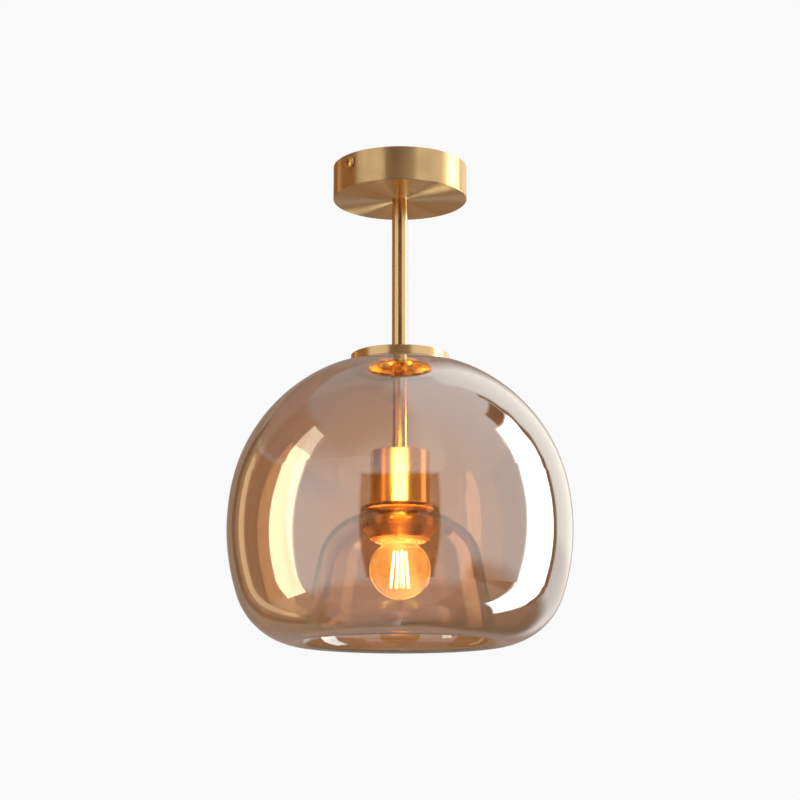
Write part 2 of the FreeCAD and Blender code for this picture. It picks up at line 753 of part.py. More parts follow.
def make_barrel():
    """Threaded sleeve: plain inside the cup, threaded below it, with a crown under the feet."""
    sleeve_radius = cup_bore - slip_gap
    turns = int((barrel_reach - barrel_relief) / barrel_thread_pitch)
    thread_top = barrel_bottom + turns * barrel_thread_pitch
    thread = screw_profile(barrel_thread_radius, barrel_thread_depth, barrel_thread_pitch, turns,
                           thread_top)
    root = barrel_thread_radius - barrel_thread_depth
    crown_under = barrel_crown - barrel_top
    points = [(barrel_opening, barrel_crown), (sleeve_radius, barrel_crown), (sleeve_radius, cup_bottom),
              (root, cup_bottom)] + thread + [(barrel_bore, barrel_bottom), (barrel_bore, crown_under),
                                              (barrel_opening, crown_under)]
    barrel = turned(points)
    for side in (-1, 1):
        barrel = barrel.cut(cylinder(bridge_screw_radius + thread_gap, crown_under - past,
                                     barrel_crown + past, 0, side * bridge_screw_place))
    return barrel


def make_insert():
    """The ceramic: a cup open below, with a thick crown that carries the contacts."""
    body = cylinder(insert_radius, insert_bottom, insert_top)
    body = soften(body, [insert_bottom], edge_round)
    body = body.cut(cylinder(insert_bore, insert_bottom - past, socket_ceiling))
    for side in (-1, 1):
        depth = bridge_screw_length - bridge_thickness - barrel_top + snug_gap
        body = body.cut(cylinder(bridge_screw_radius + thread_gap, insert_top - depth,
                                 insert_top + past, 0, side * bridge_screw_place))
    return body


def make_holder_terminals():
    """A brass block for each wire on the ceramic's crown."""
    half = holder_terminal_size / 2
    blocks = []
    for side in (-1, 1):
        x = side * holder_terminal_place
        block = box((x - half, x + half), (-half, half), (insert_top, insert_top + holder_terminal_size))
        blocks.append(block)
    return Part.makeCompound(blocks)


def make_socket():
    """Threaded brass shell in the ceramic, with a turned-in top round the centre contact."""
    length = socket_turns * thread_pitch
    start = socket_top - socket_relief
    crest = socket_thread_radius + socket_thread_depth
    inner = screw_profile(crest, socket_thread_depth, thread_pitch, socket_turns, start)
    outer = [(r + socket_wall, z) for r, z in inner]
    top_outer = crest + socket_wall
    points = [(socket_hole, socket_ceiling), (top_outer, socket_ceiling)] + outer
    points += [(crest, start - length)] + inner[::-1][1:]
    points += [(crest, socket_top), (socket_hole, socket_top)]
    return turned(points)


def make_centre_contact():
    """A bent leaf from the ceramic's crown down towards the lamp's contact."""
    top = socket_ceiling
    pad_top = leaf_bottom + leaf_thickness
    corners = [(-leaf_base, top), (-leaf_knee, top), (leaf_tip - leaf_pad, pad_top),
               (leaf_tip, pad_top), (leaf_tip, leaf_bottom),
               (leaf_tip - leaf_pad - leaf_bevel, leaf_bottom),
               (-leaf_knee - leaf_bevel, top - leaf_thickness), (-leaf_base, top - leaf_thickness)]
    points = [Vec(x, -leaf_width / 2, z) for x, z in corners]
    face = Part.Face(Part.makePolygon(points + points[:1]))
    return face.extrude(Vec(0, leaf_width, 0))


# ---- ring ----------------------------------------------------------------------------------
def make_ring():
    bore = barrel_thread_radius + slip_gap
    band_top = ring_top - ring_spigot_height
    band_bottom = band_top - ring_band_height
    cone_bottom = band_bottom - ring_cone_height
    bottom = cone_bottom - ring_lip_height
    ring = turned([(bore, ring_top), (ring_spigot_radius, ring_top), (ring_spigot_radius, band_top),
                   (ring_radius, band_top), (ring_radius, band_bottom), (ring_lip_radius, cone_bottom),
                   (ring_lip_radius, bottom), (bore, bottom)])
    edges = []
    for edge in ring.Edges:
        at = edge.BoundBox
        for radius, z in ((ring_radius, band_top), (ring_radius, band_bottom), (ring_lip_radius, bottom)):
            if at.ZLength < same and abs(at.ZMin - z) < same and abs(at.XMax - radius) < same:
                edges.append(edge)
    return ring.makeFillet(edge_round, edges)


# ---- lamp ----------------------------------------------------------------------------------
def make_lamp_pip():
    pip = cylinder(lamp_pip_radius, lamp_pip_bottom, lamp_top)
    return soften(pip, [lamp_top], edge_round)


def make_lamp_insulator():
    shoulder = lamp_pip_radius + lamp_insulator_step
    return turned([(0, lamp_pip_bottom), (shoulder, lamp_pip_bottom),
                   (lamp_insulator_radius, lamp_cap_top), (0, lamp_cap_top)])


def make_lamp_cap():
    crest = lamp_cap_radius - lamp_cap_thread_depth
    wave = screw_profile(lamp_cap_radius, lamp_cap_thread_depth, thread_pitch, lamp_cap_turns,
                         lamp_cap_top - lamp_cap_relief)
    outer = [(lamp_insulator_radius - lamp_cap_rim, lamp_cap_top), (crest, lamp_cap_top)]
    outer += wave + [(lamp_cap_radius, lamp_cap_bottom)]
    inner = [(r - lamp_cap_wall, z) for r, z in wave]
    points = outer + [(lamp_cap_radius - lamp_cap_wall, lamp_cap_bottom)] + inner[::-1]
    points += [(crest - lamp_cap_wall, lamp_cap_top - lamp_cap_wall),
               (lamp_insulator_radius - lamp_cap_rim, lamp_cap_top - lamp_cap_wall)]
    return turned(points)


def lamp_outline(depth):
    """Neck, fillet and globe of the lamp's glass, depth inside its outer face."""
    neck = lamp_neck_radius - depth
    fillet = lamp_neck_fillet + depth
    globe = lamp_radius - depth
    fillet_r = lamp_neck_radius + lamp_neck_fillet
    fillet_z = lamp_centre + sqrt((lamp_radius + lamp_neck_fillet) ** 2 - fillet_r ** 2)
    slope = Vec(fillet_r, 0, fillet_z - lamp_centre).normalize()
    centre = Vec(0, 0, lamp_centre)
    fillet_centre = Vec(fillet_r, 0, fillet_z)
    meet = centre + slope * globe
    start = Vec(neck, 0, fillet_z)
    halfway = (start - fillet_centre).normalize() + (meet - fillet_centre).normalize()
    middle = fillet_centre + halfway.normalize() * fillet
    low = Vec(0, 0, lamp_centre - globe)
    side = centre + (slope + Vec(0, 0, -1)).normalize() * globe
    top = Vec(neck, 0, fillet_z + lamp_neck_length)
    edges = [Part.LineSegment(top, start).toShape(), Part.Arc(start, middle, meet).toShape(),
             Part.Arc(meet, side, low).toShape()]
    return edges, top, low


def make_lamp_glass():
    outer, outer_top, outer_low = lamp_outline(0)
    inner, inner_top, inner_low = lamp_outline(lamp_glass_wall)
    joins = [Part.LineSegment(outer_top, inner_top).toShape(),
             Part.LineSegment(outer_low, inner_low).toShape()]
    return turned_edges(outer + inner + joins)


def lamp_neck_top():
    return lamp_outline(0)[1].z


def make_lamp_mount():
    """The glass flare that closes the lamp's neck, its pinch and the rod that holds the threads."""
    top = lamp_neck_top()
    pinch_top = filament_top_z() + lamp_pinch_length
    pinch_foot = filament_top_z() + lamp_pinch_foot
    flare = turned([(0, pinch_top), (lamp_pinch_radius - lamp_flare_wall, pinch_top),
                    (lamp_flare_radius - lamp_flare_wall, top), (lamp_flare_radius, top),
                    (lamp_flare_radius, top - lamp_flare_wall),
                    (lamp_pinch_radius, pinch_top - lamp_flare_wall), (lamp_pinch_radius, pinch_foot),
                    (lamp_rod_radius, pinch_foot - lamp_pinch_taper),
                    (lamp_rod_radius, filament_bottom_z()), (0, filament_bottom_z())])
    return flare


def filament_top_z():
    return lamp_centre + filament_length / 2


def filament_bottom_z():
    return lamp_centre - filament_length / 2


def filament_ends(index):
    angle = radians(filament_turn + index * 360 / filament_count)
    way = Vec(cos(angle), sin(angle), 0)
    top = way * filament_top_radius + Vec(0, 0, filament_top_z())
    bottom = way * filament_bottom_radius + Vec(0, 0, filament_bottom_z())
    return top, bottom


def make_filaments():
    return Part.makeCompound([rod_between(*filament_ends(i), filament_radius)
                              for i in range(filament_count)])


def make_support_wires():
    wires = []
    for i in range(filament_count):
        for end in filament_ends(i):
            way = Vec(end.x, end.y, 0).normalize()
            start = way * lamp_rod_radius + Vec(0, 0, end.z)
            reach = end - way * filament_radius
            wires.append(rod_between(start, reach, support_wire_radius))
    return Part.makeCompound(wires)


os.makedirs("parts", exist_ok=True)

save("mounting_bracket", make_bracket())
save("canopy", make_canopy())
save("canopy_screw_left", make_side_screw(-1))
save("canopy_screw_right", make_side_screw(1))
save("earth_screw", make_earth_screw())
save("earth_tag", make_earth_tag())
save("terminal_block", make_terminal_block())
save("terminal_block_tubes", make_block_tubes())
save("terminal_block_screws", make_block_screws())
save("terminal_block_fixing_screw", make_block_fixing_screw())
save("live_wire", make_lead(wire_offset, pole_places()[1]))
save("neutral_wire", make_lead(-wire_offset, pole_places()[0]))
save("earth_wire", make_earth_wire())

save("canopy_lock_washer", make_toothed_washer(canopy_washer_bottom))
save("canopy_lock_nut", make_nut(canopy_washer_bottom + lock_washer_thickness))
save("stem_top_nipple", make_top_nipple())
save("stem", make_stem())
save("stem_bottom_nipple", make_bottom_nipple())

save("shade_cap", make_cap())
save("shade_cap_gasket", make_cap_gasket())
save("glass_shade", make_glass())
save("upper_glass_gasket", make_glass_gasket(bell_plate_top))
save("lower_glass_gasket", make_glass_gasket(bell_plate_bottom - glass_gasket_thickness))

save("holder_cup", make_cup())
save("holder_bridge", make_bridge())
save("holder_lock_washer", make_toothed_washer(holder_washer_bottom))
save("holder_lock_nut", make_nut(holder_washer_bottom - lock_nut_height))
save("holder_bridge_screws", make_bridge_screws())
save("holder_barrel", make_barrel())
save("holder_insert", make_insert())
save("holder_terminals", make_holder_terminals())
save("socket_shell", make_socket())
save("centre_contact", make_centre_contact())
save("shade_ring", make_ring())

save("lamp_contact", make_lamp_pip())
save("lamp_insulator", make_lamp_insulator())
save("lamp_cap", make_lamp_cap())
save("lamp_glass", make_lamp_glass())
save("lamp_mount", make_lamp_mount())
save("lamp_filaments", make_filaments())
save("lamp_support_wires", make_support_wires())
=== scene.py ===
import bpy
from math import cos, radians, sin
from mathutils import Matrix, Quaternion, Vector


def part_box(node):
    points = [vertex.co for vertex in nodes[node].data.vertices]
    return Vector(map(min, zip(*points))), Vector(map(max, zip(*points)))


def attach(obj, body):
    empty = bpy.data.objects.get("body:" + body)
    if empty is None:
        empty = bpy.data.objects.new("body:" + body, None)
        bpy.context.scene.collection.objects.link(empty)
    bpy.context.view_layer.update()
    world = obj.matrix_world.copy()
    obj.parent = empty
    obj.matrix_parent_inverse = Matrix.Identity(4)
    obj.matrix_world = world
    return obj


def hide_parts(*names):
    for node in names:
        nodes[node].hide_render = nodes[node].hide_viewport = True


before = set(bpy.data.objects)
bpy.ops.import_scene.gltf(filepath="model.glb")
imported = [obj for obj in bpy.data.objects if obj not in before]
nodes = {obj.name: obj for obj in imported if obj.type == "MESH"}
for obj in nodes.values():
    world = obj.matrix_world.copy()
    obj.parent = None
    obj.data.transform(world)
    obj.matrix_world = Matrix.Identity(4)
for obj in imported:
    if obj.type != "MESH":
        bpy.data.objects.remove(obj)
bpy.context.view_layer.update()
mm = 0.001

# The light hangs from its ceiling plane at z = 0, with the rod on the Z axis.


def srgb(hexColour):
    # #rrggbb to linear colour with alpha 1
    values = [int(hexColour[i:i + 2], 16) / 255 for i in (1, 3, 5)]
    return [v / 12.92 if v <= 0.04045 else ((v + 0.055) / 1.055) ** 2.4 for v in values] + [1.0]


def newMaterial(name):
    material = bpy.data.materials.new(name)
    material.use_nodes = True
    material.node_tree.nodes.clear()
    return material


def addNode(tree, kind, settings=(), links=()):
    # settings are attributes, or input values by name or number; links join inputs to sockets
    node = tree.nodes.new(kind)
    for name, value in dict(settings).items():
        if isinstance(name, str) and hasattr(node, name):
            setattr(node, name, value)
        else:
            node.inputs[name].default_value = value
    for name, socket in dict(links).items():
        tree.links.new(socket, node.inputs[name])
    return node


def finishMaterial(material, shader):
    addNode(material.node_tree, "ShaderNodeOutputMaterial", links={"Surface": shader.outputs[0]})
    return material


def dress(nodeNames, material):
    for name in nodeNames:
        slots = nodes[name].data.materials
        slots.clear()
        slots.append(material)


photoView = {
    "azimuth": -43.0,        # degrees, so that one side screw shows at the left
    "distance": 1411.8,      # mm from the rod's axis
    "height": -482.4,        # mm, below the ceiling
    "pitch": 12.146,         # degrees upwards
    "lens": 88.44,           # mm
    "sensor": 36,            # mm across
}


def makeCamera():
    camera = bpy.data.cameras.new("photoCamera")
    camera.lens = photoView["lens"]
    camera.sensor_width = photoView["sensor"]
    holder = bpy.data.objects.new("photoCamera", camera)
    bpy.context.scene.collection.objects.link(holder)
    turn = radians(photoView["azimuth"])
    reach = photoView["distance"] * mm
    holder.location = (sin(turn) * reach, -cos(turn) * reach, photoView["height"] * mm)
    holder.rotation_euler = (radians(90 + photoView["pitch"]), 0, turn)
    bpy.context.scene.camera = holder


makeCamera()
print("camera ready")


# what lights the object and shows in its metal and glass
studio = {
    "backdrop": "#f9f9f9",
    "backdropFrom": (-125, 125),          # degrees, where it ends on the left and the right
    "backdropSoft": 8,                    # degrees that its ends fade over
    "surround": ("#f2e9e4", 1.2),         # white cloth all round, as metal and glass see it
    # soft boxes and gaps in the cloth: azimuth and elevation in degrees from the camera's
    # side, then colour, brightness and softness of the edge in degrees
    "fields": {
        "ceilingLeft": ((-190, 8), (30, 95), "#cfc4bc", 0.66, 34),
        "floorCloth": ((-180, 180), (-90, -36), "#bda392", 0.82, 18),
        "lowRight": ((48, 190), (-70, -18), "#a08470", 0.5, 12),
        "leftShade": ((-176, -79), (-60, 27), "#b28058", 0.85, 4),
        "leftShadeAbove": ((-176, -79), (27, 50), "#b48c78", 0.8, 4),
        "leftRearCloth": ((-178, -147), (-60, 27), "#b89880", 0.8, 4),
        "leftRearStrip": ((-132, -124), (-46, 24), "#ffcf96", 1.1, 3),
        "leftRearDim": ((-146, -138), (-46, 30), "#7d5236", 0.8, 4),
        "rightBox": ((91, 121), (-50, 44), "#fff8ee", 4.6, 2),
        "rightFlagTop": ((96, 119), (44, 52), "#5a3b25", 0.5, 2),
        "rightFlagSide": ((120, 125), (-50, 56), "#8c6c58", 0.5, 2),
        "rightRearCloth": ((126, 160), (3, 70), "#fbf3ea", 1.5, 6),
        "rearRight": ((166, 200), (-60, 60), "#bca498", 0.8, 12),
        "rearLeft": ((-200, -166), (-60, 60), "#bca498", 0.8, 12),
    },
    # the dark gap in the cloth round the camera: half width and ends in degrees. It is oval
    # below, where rounding sets how late it narrows, and rim is where its side fades.
    "cameraGap": {"halfWidth": 26.0, "low": -52, "high": 24, "colour": "#96602c", "level": 0.4,
                  "soft": 3, "rounding": 3.0, "rim": (1.12, 0.9)},
    # soft boxes near the glass, seen in it: place and aim as azimuth from the camera's side,
    # distance and height in mm, then size in mm, watts, colour and lean in degrees
    "shownBoxes": {
        "leftBox": ((-65.6, 274.6, -286), (0, 113.5, -286), (78, 358), 0.32, "#ffe0b2", -8.6),
        "leftBoxTop": ((-59.4, 290.3, -60), (0, 147.6, -60), (78, 101), 0.045, "#ffd9b0", -8.6),
    },
    "shownOn": ("glass_shade", "lamp_glass", "holder_cup", "shade_ring"),
    "hiddenAim": -240,                    # mm, the height that the hidden boxes face
    # soft boxes that light the object unseen: azimuth, distance and height, size, watts, colour
    "hiddenBoxes": {
        "leftSoftBox": (-80, 1500, 150, (500, 1100), 9, "#fff4e2"),
        "rightSoftBox": (95, 1500, 150, (600, 1100), 14, "#ffffff"),
        "topSoftBox": (20, 900, 900, (900, 900), 9, "#ffffff"),
    },
    # lamps that fall on a few pieces only: one beside the canopy, and what the half-silvered
    # ball throws back of its own lamp. Place and aim as azimuth, distance and height in mm,
    # then size in mm, watts, colour and the pieces lit.
    "linkedLamps": {
        "fromTheFront": ((0, 96, -262), (0, 0, -262), (84, 100), 2.1, "#ffee8c",
                         ("stem", "holder_cup", "holder_barrel", "holder_insert", "shade_ring",
                          "lower_glass_gasket")),
        "offTheBackWall": ((180, 32, -165), (0, 8, -147), (60, 24), 0.16, "#ffe878",
                           ("shade_cap", "upper_glass_gasket")),
        "offTheWallLeft": ((-115, 30, -168), (60, 10, -147), (50, 24), 0.22, "#ffe878",
                           ("shade_cap", "upper_glass_gasket")),
        "offTheWallRight": ((115, 30, -168), (-60, 10, -147), (50, 24), 0.22, "#ffe878",
                            ("shade_cap", "upper_glass_gasket")),
        "besideTheRod": ((100, 80, -205), (0, 0, -205), (30, 100), 0.15, "#ffeab0", ("stem",)),
        "besideTheCanopy": ((-50, 1500, 380), (0, 0, -15), (900, 420), 0.75, "#ffeecb", ("canopy",)),
        "offTheWallBelow": ((180, 70, -330), (0, 0, -285), (90, 50), 1.3, "#ffee7c",
                            ("holder_cup", "holder_barrel", "holder_insert", "shade_ring")),
    },
}


def roundView(azimuth, distance, height):
    # a place at an azimuth from the camera's side, in mm from the rod's axis
    turn = radians(photoView["azimuth"] + azimuth)
    return Vector((sin(turn) * distance, -cos(turn) * distance, height)) * mm


def brightened(colour, level):
    # the linear colour of a cloth or box that is level times as bright as its hex value
    return [c * level for c in srgb(colour)[:3]] + [1]


def makeSurround():
    world = bpy.data.worlds.new("studio")
    world.use_nodes = True
    tree = world.node_tree
    tree.nodes.clear()
    coords = addNode(tree, "ShaderNodeTexCoord")
    turned = addNode(tree, "ShaderNodeVectorRotate", {"rotation_type": "Z_AXIS"},
                     {"Vector": coords.outputs["Generated"]})
    turned.inputs["Angle"].default_value = -radians(photoView["azimuth"])
    parts = addNode(tree, "ShaderNodeSeparateXYZ", links={0: turned.outputs[0]})
    minusY = addNode(tree, "ShaderNodeMath", {"operation": "MULTIPLY", 1: -1.0}, {0: parts.outputs[1]})
    azimuth = addNode(tree, "ShaderNodeMath", {"operation": "ARCTAN2"},
                      {0: parts.outputs[0], 1: minusY.outputs[0]})
    elevation = addNode(tree, "ShaderNodeMath", {"operation": "ARCSINE"}, {0: parts.outputs[2]})

    def band(value, low, high, soft):
        # 1 between low and high degrees, with edges soft degrees wide
        edges = []
        for start, end in ((low - soft / 2, low + soft / 2), (high + soft / 2, high - soft / 2)):
            edge = addNode(tree, "ShaderNodeMapRange", {"interpolation_type": "SMOOTHSTEP"},
                           {"Value": value})
            edge.inputs["From Min"].default_value = radians(start)
            edge.inputs["From Max"].default_value = radians(end)
            edges.append(edge)
        return addNode(tree, "ShaderNodeMath", {"operation": "MULTIPLY"},
                       {0: edges[0].outputs[0], 1: edges[1].outputs[0]})

    layers = []
    for azimuths, elevations, colour, level, soft in studio["fields"].values():
        across = band(azimuth.outputs[0], *azimuths, soft)
        upward = band(elevation.outputs[0], *elevations, soft)
        inside = addNode(tree, "ShaderNodeMath", {"operation": "MULTIPLY"},
                         {0: across.outputs[0], 1: upward.outputs[0]})
        layers.append((inside.outputs[0], colour, level))
    # the gap keeps its width above its middle and rounds off below
    gap = studio["cameraGap"]
    depth = addNode(tree, "ShaderNodeMath",
                    {"operation": "DIVIDE", 1: radians(gap["low"]), "use_clamp": True},
                    {0: elevation.outputs[0]})
    steep = addNode(tree, "ShaderNodeMath", {"operation": "POWER", 1: gap["rounding"]},
                    {0: depth.outputs[0]})
    across = addNode(tree, "ShaderNodeMath", {"operation": "DIVIDE", 1: radians(gap["halfWidth"])},
                     {0: azimuth.outputs[0]})
    square = addNode(tree, "ShaderNodeMath", {"operation": "MULTIPLY"},
                     {0: across.outputs[0], 1: across.outputs[0]})
    reach = addNode(tree, "ShaderNodeMath", {"operation": "ADD"},
                    {0: square.outputs[0], 1: steep.outputs[0]})
    inGap = addNode(tree, "ShaderNodeMapRange",
                    {"interpolation_type": "SMOOTHSTEP", "From Min": gap["rim"][0],
                     "From Max": gap["rim"][1]}, {"Value": reach.outputs[0]})
    under = band(elevation.outputs[0], -90, gap["high"], gap["soft"])
    gapShare = addNode(tree, "ShaderNodeMath", {"operation": "MULTIPLY"},
                       {0: inGap.outputs[0], 1: under.outputs[0]})
    layers.append((gapShare.outputs[0], gap["colour"], gap["level"]))
    cloth = addNode(tree, "ShaderNodeRGB")
    cloth.outputs[0].default_value = brightened(*studio["surround"])
    shown = cloth.outputs[0]
    for share, colour, level in layers:
        layer = addNode(tree, "ShaderNodeMix", {"data_type": "RGBA", 7: brightened(colour, level)},
                        {0: share, 6: shown})
        shown = layer.outputs[2]
    rays = addNode(tree, "ShaderNodeLightPath")
    # the backdrop stands behind the object; light let through sideways meets the studio
    aside = band(azimuth.outputs[0], *studio["backdropFrom"], studio["backdropSoft"])
    behind = addNode(tree, "ShaderNodeMath", {"operation": "SUBTRACT", 0: 1.0}, {1: aside.outputs[0]})
    through = addNode(tree, "ShaderNodeMath", {"operation": "MULTIPLY"},
                      {0: rays.outputs["Is Transmission Ray"], 1: behind.outputs[0]})
    direct = addNode(tree, "ShaderNodeMath", {"operation": "MAXIMUM"},
                     {0: rays.outputs["Is Camera Ray"], 1: rays.outputs["Is Diffuse Ray"]})
    plain = addNode(tree, "ShaderNodeMath", {"operation": "MAXIMUM"},
                    {0: direct.outputs[0], 1: through.outputs[0]})
    picked = addNode(tree, "ShaderNodeMix", {"data_type": "RGBA", 7: srgb(studio["backdrop"])},
                     {0: plain.outputs[0], 6: shown})
    background = addNode(tree, "ShaderNodeBackground", links={"Color": picked.outputs[2]})
    addNode(tree, "ShaderNodeOutputWorld", links={"Surface": background.outputs[0]})
    bpy.context.scene.world = world


def addLamp(name, place, aim, size, watts, colour):
    light = bpy.data.lights.new(name, "AREA")
    light.shape = "RECTANGLE"
    light.size, light.size_y = size[0] * mm, size[1] * mm
    light.energy = watts
    light.color = srgb(colour)[:3]
    holder = bpy.data.objects.new(name, light)
    bpy.context.scene.collection.objects.link(holder)
    holder.location = place
    holder.rotation_mode = "QUATERNION"
    holder.rotation_quaternion = (aim - place).to_track_quat("-Z", "Y")
    holder.visible_camera = False
    holder.visible_transmission = False
    return holder


def lightOnly(lamp, pieces):
    lit = bpy.data.collections.new(lamp.name)
    for piece in pieces:
        lit.objects.link(nodes[piece])
    lamp.light_linking.receiver_collection = lit


def makeLamps():
    for name, (place, aim, size, watts, colour, lean) in studio["shownBoxes"].items():
        box = addLamp(name, roundView(*place), roundView(*aim), size, watts, colour)
        box.rotation_quaternion = box.rotation_quaternion @ Quaternion((0, 0, 1), radians(lean))
        box.visible_transmission = True
        lightOnly(box, studio["shownOn"])
    for name, (azimuth, distance, height, size, watts, colour) in studio["hiddenBoxes"].items():
        box = addLamp(name, roundView(azimuth, distance, height), roundView(0, 0, studio["hiddenAim"]),
                      size, watts, colour)
        box.visible_glossy = False
    for name, (place, aim, size, watts, colour, pieces) in studio["linkedLamps"].items():
        lamp = addLamp(name, roundView(*place), roundView(*aim), size, watts, colour)
        lightOnly(lamp, pieces)


floorSheet = {
    "height": -2100,         # mm, well below the light and out of the photograph's frame
    "radius": 3200,
    "sides": 96,
    "colour": "#f7f7f7",
    "roughness": 0.9,
}


def makeFloor():
    # Matt paper: one flat pale tone. It lies far below and shows only in views from above.
    mesh = bpy.data.meshes.new("paleFloor")
    corners = [(cos(turn) * floorSheet["radius"] * mm, sin(turn) * floorSheet["radius"] * mm,
                floorSheet["height"] * mm)
               for turn in (radians(360 * i / floorSheet["sides"]) for i in range(floorSheet["sides"]))]
    mesh.from_pydata(corners, [], [tuple(range(floorSheet["sides"]))])
    floor = bpy.data.objects.new("paleFloor", mesh)
    bpy.context.scene.collection.objects.link(floor)
    material = newMaterial("matt pale paper floor")
    tree = material.node_tree
    paper = addNode(tree, "ShaderNodeBsdfPrincipled",
                    {"Base Color": srgb(floorSheet["colour"]), "Roughness": floorSheet["roughness"]})
    finishMaterial(material, paper)
    mesh.materials.append(material)
    floor.visible_glossy = False


scene = bpy.context.scene
scene.view_settings.view_transform = "Standard"
makeSurround()
makeLamps()
makeFloor()
print("studio ready")


brass = {
    "colour": "#dcc18e",          # lacquered brass, paler than bare metal
    "grooveShadeColour": "#cba36e",      # painted shade: a darker brass put down in the brush lines
    "grooveShadeShare": 0.35,            # share of that painted shade in the deepest line
    "grooveShadeFrom": (0.35, 0.75),     # groove noise, from where the painted shade starts to where it is full
    "roughness": 0.38,
    "cloudSize": 26,              # mm across the lacquer's faint clouds
    "cloudFrom": (0.3, 0.7),      # cloud noise, from the sleekest lacquer to the dullest
    "cloudSpread": (0.85, 1.2),   # and the share of the roughness at each
    "grooveSpacing": 0.35,        # mm between brush lines; real ones are under 0.1 mm
    "grooveDepth": 0.004,         # mm
    "grooveStrength": 0.35,
    "grooveTurn": 0.0012,         # m of noise to a radian, so that a line runs far round
    "anisotropy": 1.0,
}


def placeRoundAxis(tree):
    # a piece's own coordinates, their three parts and the distance from the rod's axis
    place = addNode(tree, "ShaderNodeTexCoord").outputs["Object"]
    parts = addNode(tree, "ShaderNodeSeparateXYZ", links={0: place})
    flat = addNode(tree, "ShaderNodeCombineXYZ", links={0: parts.outputs[0], 1: parts.outputs[1]})
    radius = addNode(tree, "ShaderNodeVectorMath", {"operation": "LENGTH"}, {0: flat.outputs[0]})
    return place, parts.outputs, radius.outputs["Value"]


def brushedBrass(name, settings):
    # Brushed brass under lacquer: turned against an abrasive pad, so fine lines run round the
    # axis and stretch each reflection across them.
    material = newMaterial(name)
    tree = material.node_tree
    place, parts, radius = placeRoundAxis(tree)
    turn = addNode(tree, "ShaderNodeMath", {"operation": "ARCTAN2"}, {0: parts[1], 1: parts[0]})
    slowTurn = addNode(tree, "ShaderNodeMath", {"operation": "MULTIPLY", 1: settings["grooveTurn"]},
                       {0: turn.outputs[0]})
    lines = addNode(tree, "ShaderNodeCombineXYZ",
                    links={0: radius, 1: slowTurn.outputs[0], 2: parts[2]})
    grooves = addNode(tree, "ShaderNodeTexNoise",
                      {"Scale": 1 / (settings["grooveSpacing"] * mm), "Detail": 3.0, "Roughness": 0.6},
                      {"Vector": lines.outputs[0]})
    cloudy = addNode(tree, "ShaderNodeTexNoise",
                     {"Scale": 1 / (settings["cloudSize"] * mm), "Detail": 2.0},
                     {"Vector": place})
    # painted shade: the brush lines get a darker brass colour, as if shade fell in them
    tint = addNode(tree, "ShaderNodeMix", {"data_type": "RGBA", 6: srgb(settings["colour"]),
                                           7: srgb(settings["grooveShadeColour"])})
    grooveShading = addNode(tree, "ShaderNodeMapRange",
                     {"From Min": settings["grooveShadeFrom"][0], "From Max": settings["grooveShadeFrom"][1],
                      "To Max": settings["grooveShadeShare"]}, {"Value": grooves.outputs["Fac"]})
    tree.links.new(grooveShading.outputs[0], tint.inputs[0])
    rough = addNode(tree, "ShaderNodeMapRange",
                    {"From Min": settings["cloudFrom"][0], "From Max": settings["cloudFrom"][1],
                     "To Min": settings["roughness"] * settings["cloudSpread"][0],
                     "To Max": settings["roughness"] * settings["cloudSpread"][1]},
                    {"Value": cloudy.outputs["Fac"]})
    bump = addNode(tree, "ShaderNodeBump",
                   {"Strength": settings["grooveStrength"], "Distance": settings["grooveDepth"] * mm},
                   {"Height": grooves.outputs["Fac"]})
    tangent = addNode(tree, "ShaderNodeTangent", {"direction_type": "RADIAL", "axis": "Z"})
    metal = addNode(tree, "ShaderNodeBsdfPrincipled",
                    {"Metallic": 1.0, "Anisotropic": settings["anisotropy"], "Anisotropic Rotation": 0.25},
                    {"Base Color": tint.outputs[2], "Roughness": rough.outputs[0],
                     "Normal": bump.outputs[0], "Tangent": tangent.outputs[0]})
    return finishMaterial(material, metal)


canopyBrass = brushedBrass("brushed lacquered brass canopy", brass)
rodBrass = brushedBrass("drawn lacquered brass rod", {**brass, "roughness": 0.2, "anisotropy": 0.7,
                                                      "grooveDepth": 0.002})
turnedBrass = brushedBrass("turned lacquered brass", {**brass, "roughness": 0.28, "anisotropy": 0.8})


dress(["canopy"], canopyBrass)
dress(["stem"], rodBrass)
dress(["shade_cap", "holder_cup", "shade_ring", "canopy_screw_left", "canopy_screw_right",
       "stem_top_nipple", "stem_bottom_nipple", "holder_barrel", "terminal_block_tubes",
       "holder_terminals", "socket_shell", "centre_contact", "earth_screw"], turnedBrass)
print("brass ready")


smallMetals = {
    "zinc": ("bright zinc plated steel", "#c9c8c2", 0.3),
    "nickel": ("nickel plated brass lamp cap", "#cfc9ba", 0.22),
    "screw": ("turned and tumbled brass screw", "#d8b070", 0.24),
    "cloudSize": 3,               # mm across the faint clouds in the plate
    "cloudSpread": (0.7, 1.3),    # share of the roughness at the sleekest and the dullest
}


def smallMetal(name, colour, roughness):
    # Plated or tumbled metal: bright, with a faint cloudiness that breaks up its highlights.
    material = newMaterial(name)
    tree = material.node_tree
    place = addNode(tree, "ShaderNodeTexCoord")
    cloud = addNode(tree, "ShaderNodeTexNoise",
                    {"Scale": 1 / (smallMetals["cloudSize"] * mm), "Detail": 4.0},
                    {"Vector": place.outputs["Object"]})
    sleek, dull = smallMetals["cloudSpread"]
    rough = addNode(tree, "ShaderNodeMapRange", {"To Min": roughness * sleek, "To Max": roughness * dull},
                    {"Value": cloud.outputs["Fac"]})
    metal = addNode(tree, "ShaderNodeBsdfPrincipled", {"Base Color": srgb(colour), "Metallic": 1.0},
                    {"Roughness": rough.outputs[0]})
    return finishMaterial(material, metal)


